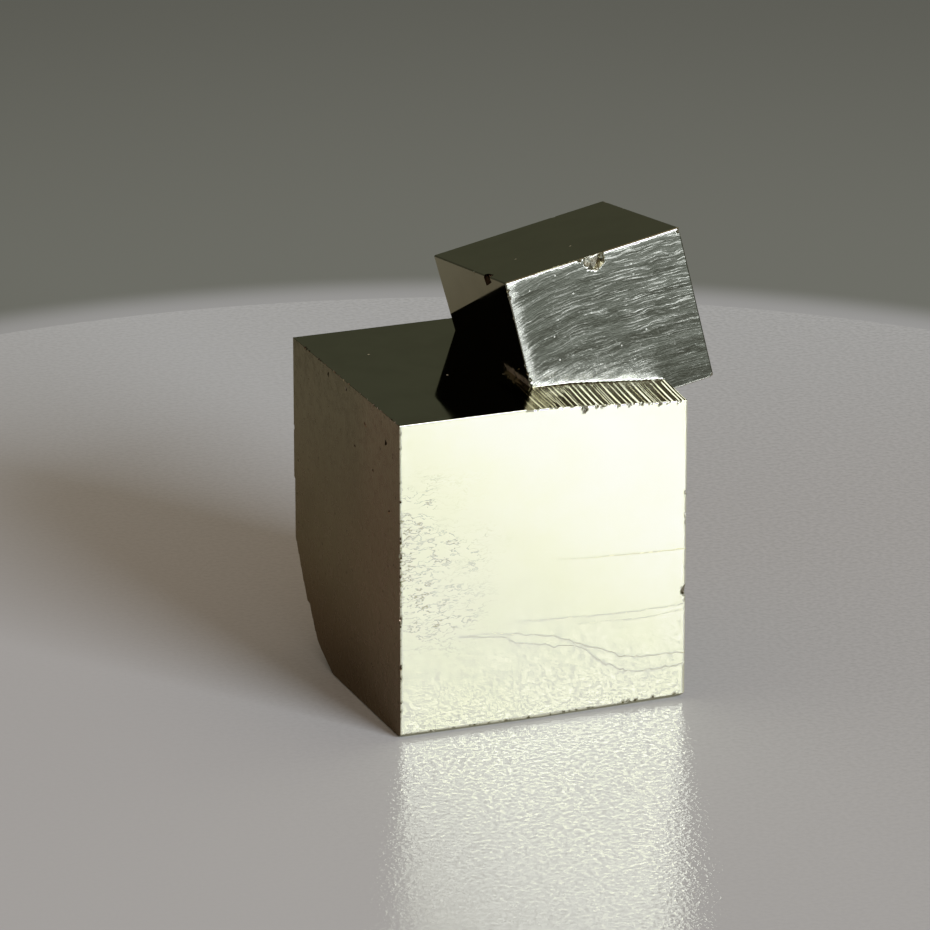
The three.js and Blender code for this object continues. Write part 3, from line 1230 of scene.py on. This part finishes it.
def shaded_mirror_finish(tree, shader, grain, colours):
    """A face darkened with painted shade, as a copy of the mirror finish, with a brown residue in its seam
    with the large cube's top.
    """
    # Painted shade: the mirror finish at about half its brightness.
    mirror_finish(tree, shader, grain, colours, 0.53)
    parts = parts_of(tree, grain)
    cloud = cloud_noise(tree, grain, 2.2, 5.0, 0.8)
    low = spread(tree, parts["X"], 0.3, 1.3, 1.0, 0.0)
    near = spread(tree, parts["Y"], -4.6, -0.4, 1.0, 0.0)
    residue = product(tree, product(tree, low, near), cloud)
    residue = spread(tree, residue, 0.32, 0.55)
    clean = shader.inputs["Base Color"].links[0].from_socket
    feed(tree, blend(tree, residue, clean, shade_of(colours.residue, 1.0)), shader.inputs["Base Color"])
    rough = shader.inputs["Roughness"].links[0].from_socket
    feed(tree, calculate(tree, "MULTIPLY_ADD", residue, 0.5, rough), shader.inputs["Roughness"])
    feed(tree, calculate(tree, "SUBTRACT", 1.0, residue), shader.inputs["Metallic"])


def tarnished_finish(tree, shader, grain, colours):
    """A brown, duller face with pin pits and a lumpy skin; redder to the front, partly real rust and partly a
    painted reflection of the warm shadow, and darker at its foot and towards its top with painted shade.
    """
    film = film_over(tree, grain, 0.16)
    blotch = film_over(tree, grain, 0.9)
    pits = specks_over(tree, grain, 1.6, 0.16, 0.14)
    parts = parts_of(tree, grain)
    front = spread(tree, parts["Y"], 5.0, -9.0)
    low = spread(tree, parts["X"], 2.0, 12.0, 1.0, 0.0)
    foot = product(tree, low, spread(tree, front, 0.5, 1.0, 1.0, 0.5))
    tint = blend(tree, film, shade_of(colours.tarnish, 1.0), shade_of(colours.tarnish, 0.85))
    # Partly painted: redder towards the front as a painted reflection of the warm shadow, over real rust
    # blotches.
    rust_and_warm_reflection = calculate(tree, "MULTIPLY_ADD", blotch, 0.3, product(tree, front, 0.7))
    tint = blend(tree, rust_and_warm_reflection, tint, shade_of(colours.rust_and_warm_shade, 1.0))
    # Painted shade: darker towards the foot, less so at the front.
    tint = blend(tree, foot, tint, shade_of(colours.rust_and_warm_shade, 0.7))
    # Painted shade: darker towards the top, most towards the back.
    high = spread(tree, parts["X"], 10.0, 28.0)
    high = product(tree, high, spread(tree, front, 0.4, 1.0, 0.85, 0.2))
    tint = blend(tree, high, tint, shade_of(colours.tarnish, 0.62))
    feed(tree, blend(tree, pits, tint, shade_of(colours.tarnish, 0.3)), shader.inputs["Base Color"])
    feed(tree, spread(tree, blotch, 0.0, 1.0, 0.18, 0.3), shader.inputs["Roughness"])
    lumps = cloud_noise(tree, grain, 1.6, 3.0, 0.6)
    lumps = product(tree, lumps, spread(tree, front, 0.0, 1.0, 0.5, 1.3))
    lines = lines_over(tree, grain, 7.0, 0.4, 0.4)
    set_relief(tree, shader, (lumps, 0.05), (lines, 0.006), (pits, -0.05))


def bright_finish(tree, shader, grain, colours):
    """The large cube's front: painted brighter than the other faces as painted light, with growth lines, and
    finely creased on its left with painted shade in the creases.
    """
    film = film_over(tree, grain, 0.12)
    wrinkled = add_node(tree, "ShaderNodeAttribute", {"attribute_name": "wrinkle"}).outputs["Fac"]
    # Painted light: the front's base colours are brighter than the pyrite of the other faces.
    tint = blend(tree, film, shade_of(colours.front, 1.0), shade_of(colours.front_film_painted_bright, 1.0))
    folds = use_group(tree, wrinkles_group(), Vector=grain, Stretch=(0.6, 2.1, 1.0), Scale=1.15)["Height"]
    broken = film_over(tree, grain, 0.5)
    folded = product(tree, wrinkled, calculate(tree, "MULTIPLY_ADD", broken, 0.8, 0.5))
    crease = spread(tree, folds, 0.0, 0.16, 1.0, 0.0)
    # Painted shade: the creases are darkened in the colour towards a dark shade of the ledge colour.
    dull = product(tree, crease, spread(tree, folded, 0.06, 0.85, 0.0, 0.85))
    feed(tree, blend(tree, dull, tint, shade_of(colours.ledge, 0.35)), shader.inputs["Base Color"])
    feed(tree, spread(tree, film, 0.0, 1.0, 0.03, 0.05), shader.inputs["Roughness"])
    shader.inputs["Metallic"].default_value = 0.7
    lines = lines_over(tree, grain, 5.0, 0.35, 1.5)
    set_relief(tree, shader, (lines, 0.004), (product(tree, folds, folded), 0.004))


def streaked_finish(tree, shader, grain, colours):
    """The small cube's front: dark, with satin streaks along its growth, a fine mottle and worn rims."""
    worn = add_node(tree, "ShaderNodeAttribute", {"attribute_name": "worn"}).outputs["Fac"]
    feed(tree, shade_of(colours.streaked, 1.0), shader.inputs["Base Color"])
    parts = parts_of(tree, grain)
    rightwards = spread(tree, parts["X"], 1.0, 14.0, 0.6, 1.25)
    strength = product(tree, spread(tree, parts["Y"], 2.0, 9.0, 0.4, 1.0), rightwards)
    lines = lines_over(tree, grain, 3.0, 0.12, 0.5)
    bands = lines_over(tree, grain, 7.0, 0.22, 0.9)
    hairs = spread(tree, lines, 0.49, 0.68, 0.0, 0.9)
    satin = calculate(tree, "MAXIMUM", hairs, spread(tree, bands, 0.56, 0.68))
    satin = product(tree, satin, strength)
    mottle = cloud_noise(tree, grain, 3.4, 4.0, 0.7)
    satin = calculate(tree, "MULTIPLY_ADD", spread(tree, mottle, 0.52, 0.68), 0.4, satin)
    specks = specks_over(tree, grain, 1.6, 0.12, 0.12)
    satin = calculate(tree, "MAXIMUM", satin, specks)
    rough = calculate(tree, "MULTIPLY_ADD", calculate(tree, "MINIMUM", satin, 1.0), 0.25, 0.03)
    feed(tree, calculate(tree, "MULTIPLY_ADD", worn, 0.28, rough), shader.inputs["Roughness"])
    ribs = product(tree, lines, calculate(tree, "MULTIPLY_ADD", worn, 2.5, 1.0))
    set_relief(tree, shader, (ribs, 0.004), (mottle, 0.004))


def stepped_finish(tree, shader, grain, colours):
    """Striated facets: steps with fine lines along them, darker towards the left with painted shade."""
    across = parts_of(tree, grain)["Y"]
    # Painted shade: the colour darkens towards the left end of the striae.
    clean = spread(tree, across, 0.0, 5.5)
    tint = blend(tree, clean, shade_of(colours.tarnish, 0.3), shade_of(colours.streaked, 0.72))
    feed(tree, tint, shader.inputs["Base Color"])
    lines = lines_over(tree, grain, 6.0, 0.12, 0.2)
    feed(tree, spread(tree, lines, 0.3, 0.7, 0.07, 0.14), shader.inputs["Roughness"])
    set_relief(tree, shader, (lines, 0.008))


def broken_finish(tree, shader, grain, colours):
    """Fresh broken hollows: bright and uneven."""
    film = film_over(tree, grain, 2.5)
    tint = blend(tree, film, shade_of(colours.pyrite, 1.0), shade_of(colours.tarnish, 1.0))
    feed(tree, tint, shader.inputs["Base Color"])
    feed(tree, spread(tree, film, 0.0, 1.0, 0.15, 0.35), shader.inputs["Roughness"])
    set_relief(tree, shader, (film, 0.015))


def ledge_finish(tree, shader, grain, colours):
    """The narrow faces of growth ledges: dull and yellow, clearer towards the right."""
    across = parts_of(tree, grain)["Y"]
    clear = spread(tree, across, 4.0, 12.0)
    tint = blend(tree, clear, shade_of(colours.ledge, 1.0), shade_of(colours.ledge, 1.4))
    feed(tree, tint, shader.inputs["Base Color"])
    film = film_over(tree, grain, 1.5)
    feed(tree, spread(tree, film, 0.0, 1.0, 0.1, 0.35), shader.inputs["Roughness"])


FINISHES = {
    "pyrite_mirror": mirror_finish,
    "pyrite_smoky": shaded_mirror_finish,
    "pyrite_tarnished": tarnished_finish,
    "pyrite_bright": bright_finish,
    "pyrite_streaked": streaked_finish,
    "pyrite_stepped": stepped_finish,
    "pyrite_broken": broken_finish,
    "pyrite_ledge": ledge_finish,
}


class SPECIMEN_OT_stage(bpy.types.Operator):
    """Sets the floor, the light and the camera"""

    bl_idname = "specimen.stage"
    bl_label = "Stage"

    def execute(self, context):
        colours = context.scene.specimen_colours
        lay_floor(colours)
        light_stage(context.scene, colours)
        set_camera(context.scene)
        return {"FINISHED"}


# The pale floor: its middle, radius and sides, how far the surround reaches, and how softly the floor ends
FLOOR_CENTRE = Vector((1.6, 5.6, 0)) * MM
FLOOR_RADIUS = 99.4 * MM
FLOOR_REACH = 2.5
FLOOR_SOFTNESS = 8 * MM
FLOOR_SIDES = 180

# The floor's gloss from left to right, as two ramps: start and end in metres, and the gloss at each
LEFT_GLOSS = (-36 * MM, -6 * MM, 0.1, 0.45)
RIGHT_GLOSS = (3 * MM, 40 * MM, 0.0, 0.25)

# The floor's grain: its scale, sparkle and height, and how it smooths out towards the front
GRAIN_SCALE = 2200.0
GRAIN_SPARKLE = 0.55
GRAIN_HEIGHT = 0.075
GRAIN_FADE = (-60 * MM, -15 * MM, 0.65, 1.0)


def lay_floor(colours):
    """A pale satin floor, longer to the front, and a grey matt surround that darkens with distance."""
    deselect_everything()
    bpy.ops.mesh.primitive_circle_add(
        vertices=FLOOR_SIDES, radius=FLOOR_RADIUS, fill_type="NGON", location=FLOOR_CENTRE
    )
    floor = bpy.context.object
    floor.name = "floor"
    bpy.ops.object.transform_apply(location=True, rotation=True, scale=True)
    floor.data.materials.append(floor_material(colours))
    floor.data.materials.append(surround_material(colours))
    with edit_mode(floor) as mesh:
        bpy.ops.mesh.select_mode(type="EDGE")
        bpy.ops.mesh.select_all(action="SELECT")
        bpy.ops.mesh.extrude_edges_indiv()
        spread_out = FLOOR_REACH / FLOOR_RADIUS
        bpy.ops.transform.resize(value=(spread_out, spread_out, 1), center_override=FLOOR_CENTRE)
        bpy.ops.mesh.select_mode(type="VERT")
        for vertex in mesh.verts:
            vertex.select_set(vertex.co.y < FLOOR_CENTRE.y - 0.2 * FLOOR_RADIUS)
        bmesh.update_edit_mesh(floor.data)
        bpy.ops.transform.translate(value=-1.2 * FLOOR_RADIUS * Y)
    for face in floor.data.polygons:
        face.material_index = 0 if len(face.vertices) == FLOOR_SIDES else 1


def floor_material(colours):
    """The pale satin floor: finely grained, smoother in front, glossier to the right, and painted lighter and
    cooler behind as painted light.
    """
    material, tree, shader = new_material("pale_floor")
    spot = add_node(tree, "ShaderNodeTexCoord").outputs["Object"]
    parts = parts_of(tree, spot)
    grain = cloud_noise(tree, spot, GRAIN_SCALE, 2.0)
    gloss = spread(tree, parts["X"], *LEFT_GLOSS)
    gloss = calculate(tree, "ADD", gloss, spread(tree, parts["X"], *RIGHT_GLOSS))
    crisp = spread(tree, parts["Y"], *GRAIN_FADE)
    sparkle = product(tree, spread(tree, grain, 0.3, 0.7, -GRAIN_SPARKLE, GRAIN_SPARKLE), crisp)
    gloss = product(tree, gloss, calculate(tree, "ADD", sparkle, 1.0))
    feed(tree, gloss, shader.inputs["Coat Weight"])
    # Painted light: the floor's colour grows lighter and cooler towards the back.
    behind = spread(tree, parts["Y"], 15 * MM, 95 * MM)
    feed(tree, blend(tree, behind, (*colours.floor, 1), (*colours.floor_far_painted_light, 1)), shader.inputs["Base Color"])
    shader.inputs["Roughness"].default_value = 1.0
    shader.inputs["Specular IOR Level"].default_value = 0.0
    shader.inputs["Coat Roughness"].default_value = 0.1
    shader.inputs["Coat IOR"].default_value = 1.5
    set_relief(tree, shader, (product(tree, grain, crisp), GRAIN_HEIGHT), socket="Coat Normal")
    return material


def surround_material(colours):
    """The matt surround: pale for a little way from the floor, then grey, and dark at a distance."""
    material, tree, shader = new_material("dim_surround")
    spot = add_node(tree, "ShaderNodeTexCoord").outputs["Object"]
    away = vector_maths(tree, "DISTANCE", spot, FLOOR_CENTRE)["Value"]
    near = spread(tree, away, FLOOR_RADIUS, FLOOR_RADIUS + FLOOR_SOFTNESS)
    far = spread(tree, away, FLOOR_RADIUS, 2.6 * FLOOR_RADIUS)
    farther = spread(tree, away, 2.6 * FLOOR_RADIUS, 5.0 * FLOOR_RADIUS)
    grey = blend(tree, far, shade_of(colours.surround, 1.0), shade_of(colours.surround, 0.7))
    grey = blend(tree, farther, grey, shade_of(colours.surround, 0.45))
    feed(tree, blend(tree, near, shade_of(colours.floor_far_painted_light, 0.76), grey), shader.inputs["Base Color"])
    shader.inputs["Roughness"].default_value = 1.0
    shader.inputs["Specular IOR Level"].default_value = 0.0
    return material


def add_soft_light(name, azimuth, elevation, distance, size, power, colour):
    """A soft square light that faces the specimen from the given side."""
    light = bpy.data.lights.new(name, "AREA")
    light.size = size
    light.energy = power
    light.color = colour
    lamp = bpy.data.objects.new(name, light)
    bpy.context.scene.collection.objects.link(lamp)
    around = math.radians(azimuth)
    above = math.radians(elevation)
    side = math.sin(around) * math.cos(above)
    toward = Vector((side, -math.cos(around) * math.cos(above), math.sin(above)))
    aim = Vector((0, 0, 15 * MM))
    lamp.location = aim + distance * toward
    lamp.rotation_euler = toward.to_track_quat("Z", "Y").to_euler()


# The key light: its azimuth and elevation in degrees, its distance and side in metres, and its power in watts
KEY_LIGHT = (21.6, 20, 2.0, 0.89, 45.0)

# The room's dim walls, its paler front and its darkest part behind
ROOM_WALLS = (0.08, 0.086, 0.07, 1)
ROOM_FRONT = (0.5, 0.55, 0.55, 1)
ROOM_BACK = (0.004, 0.004, 0.003, 1)

# The tones of the picture: the brightest light, and pairs of a light and the tone that it is shown in
TONE_RANGE = 2.0
TONE_POINTS = [(0.0, 0.0), (0.3, 0.3), (0.6, 0.52), (0.95, 0.7), (1.3, 0.93), (1.6, 1.0), (2.0, 1.0)]


def light_stage(scene, colours):
    """A low soft light at the front, and dim light all round."""
    add_soft_light("key", *KEY_LIGHT, colours.key)
    world = bpy.data.worlds.new("dim_room")
    scene.world = world
    world.use_nodes = True
    tree = world.node_tree
    background = tree.nodes["Background"]
    direction = add_node(tree, "ShaderNodeTexCoord").outputs["Generated"]
    room = fade_towards(tree, direction, (0, 0, 1), 0.4, 0.95, ROOM_WALLS, (*colours.ceiling, 1))
    room = fade_towards(tree, direction, (-0.1, -0.99, 0.1), 0.6, 0.97, room, ROOM_FRONT)
    room = fade_towards(tree, direction, (-0.35, 0.88, 0.32), 0.9, 0.985, room, ROOM_BACK)
    tree.links.new(room, background.inputs["Color"])
    view = scene.view_settings
    view.view_transform = "Standard"
    view.use_curve_mapping = True
    tone = view.curve_mapping
    tone.white_level = (TONE_RANGE, TONE_RANGE, TONE_RANGE)
    curve = tone.curves[3]
    for number, (light, shown) in enumerate(TONE_POINTS):
        spot = (light / TONE_RANGE, shown)
        if number in (0, len(TONE_POINTS) - 1):
            curve.points[0 if number == 0 else -1].location = spot
        else:
            curve.points.new(*spot)
    tone.update()


def fade_towards(tree, direction, aim, start, end, outside, inside):
    """A colour of the room that changes towards one direction, between two cosines of the angle from it."""
    nearness = vector_maths(tree, "DOT_PRODUCT", direction, Vector(aim).normalized())["Value"]
    return blend(tree, spread(tree, nearness, start, end), outside, inside)


# The camera's place, the way it looks, and its lens and sensor in millimetres
CAMERA_PLACE = Vector((-200.4, -499.7, 206.55)) * MM
CAMERA_FORWARD = Vector((0.34825, 0.87758, -0.32951))
CAMERA_LENS = 257.9
CAMERA_SENSOR = 36.0


def set_camera(scene):
    """The camera, at the angle and distance of the photograph."""
    camera = bpy.data.cameras.new("camera")
    camera.lens = CAMERA_LENS
    camera.sensor_width = CAMERA_SENSOR
    camera.clip_start = 10 * MM
    holder = bpy.data.objects.new("camera", camera)
    scene.collection.objects.link(holder)
    holder.location = CAMERA_PLACE
    holder.rotation_euler = CAMERA_FORWARD.to_track_quat("-Z", "Y").to_euler()
    scene.camera = holder


class SPECIMEN_PT_panel(bpy.types.Panel):
    """Sizes, colours and steps of the specimen"""

    bl_label = "Pyrite Specimen"
    bl_idname = "SPECIMEN_PT_panel"
    bl_space_type = "VIEW_3D"
    bl_region_type = "UI"
    bl_category = "Pyrite"

    def draw(self, context):
        layout = self.layout
        for group in (context.scene.crystal_sizes, context.scene.specimen_colours):
            box = layout.box()
            for name in group.__annotations__:
                box.prop(group, name)
        for step in STEPS:
            layout.operator(step.bl_idname)


STEPS = (
    SPECIMEN_OT_large_crystal,
    SPECIMEN_OT_small_crystal,
    SPECIMEN_OT_grow_together,
    SPECIMEN_OT_stage,
)
CLASSES = (CrystalSizes, SpecimenColours, *STEPS, SPECIMEN_PT_panel)


def register():
    """Registers the classes and puts the settings on the scene."""
    for cls in CLASSES:
        bpy.utils.register_class(cls)
    bpy.types.Scene.crystal_sizes = PointerProperty(type=CrystalSizes)
    bpy.types.Scene.specimen_colours = PointerProperty(type=SpecimenColours)


def unregister():
    """Takes the settings off the scene and the classes out again."""
    del bpy.types.Scene.specimen_colours
    del bpy.types.Scene.crystal_sizes
    for cls in reversed(CLASSES):
        bpy.utils.unregister_class(cls)


def main():
    """Builds the specimen and its stage."""
    register()
    bpy.ops.specimen.large_crystal()
    bpy.ops.specimen.small_crystal()
    bpy.ops.specimen.grow_together()
    bpy.ops.specimen.stage()


if __name__ == "__main__":
    main()
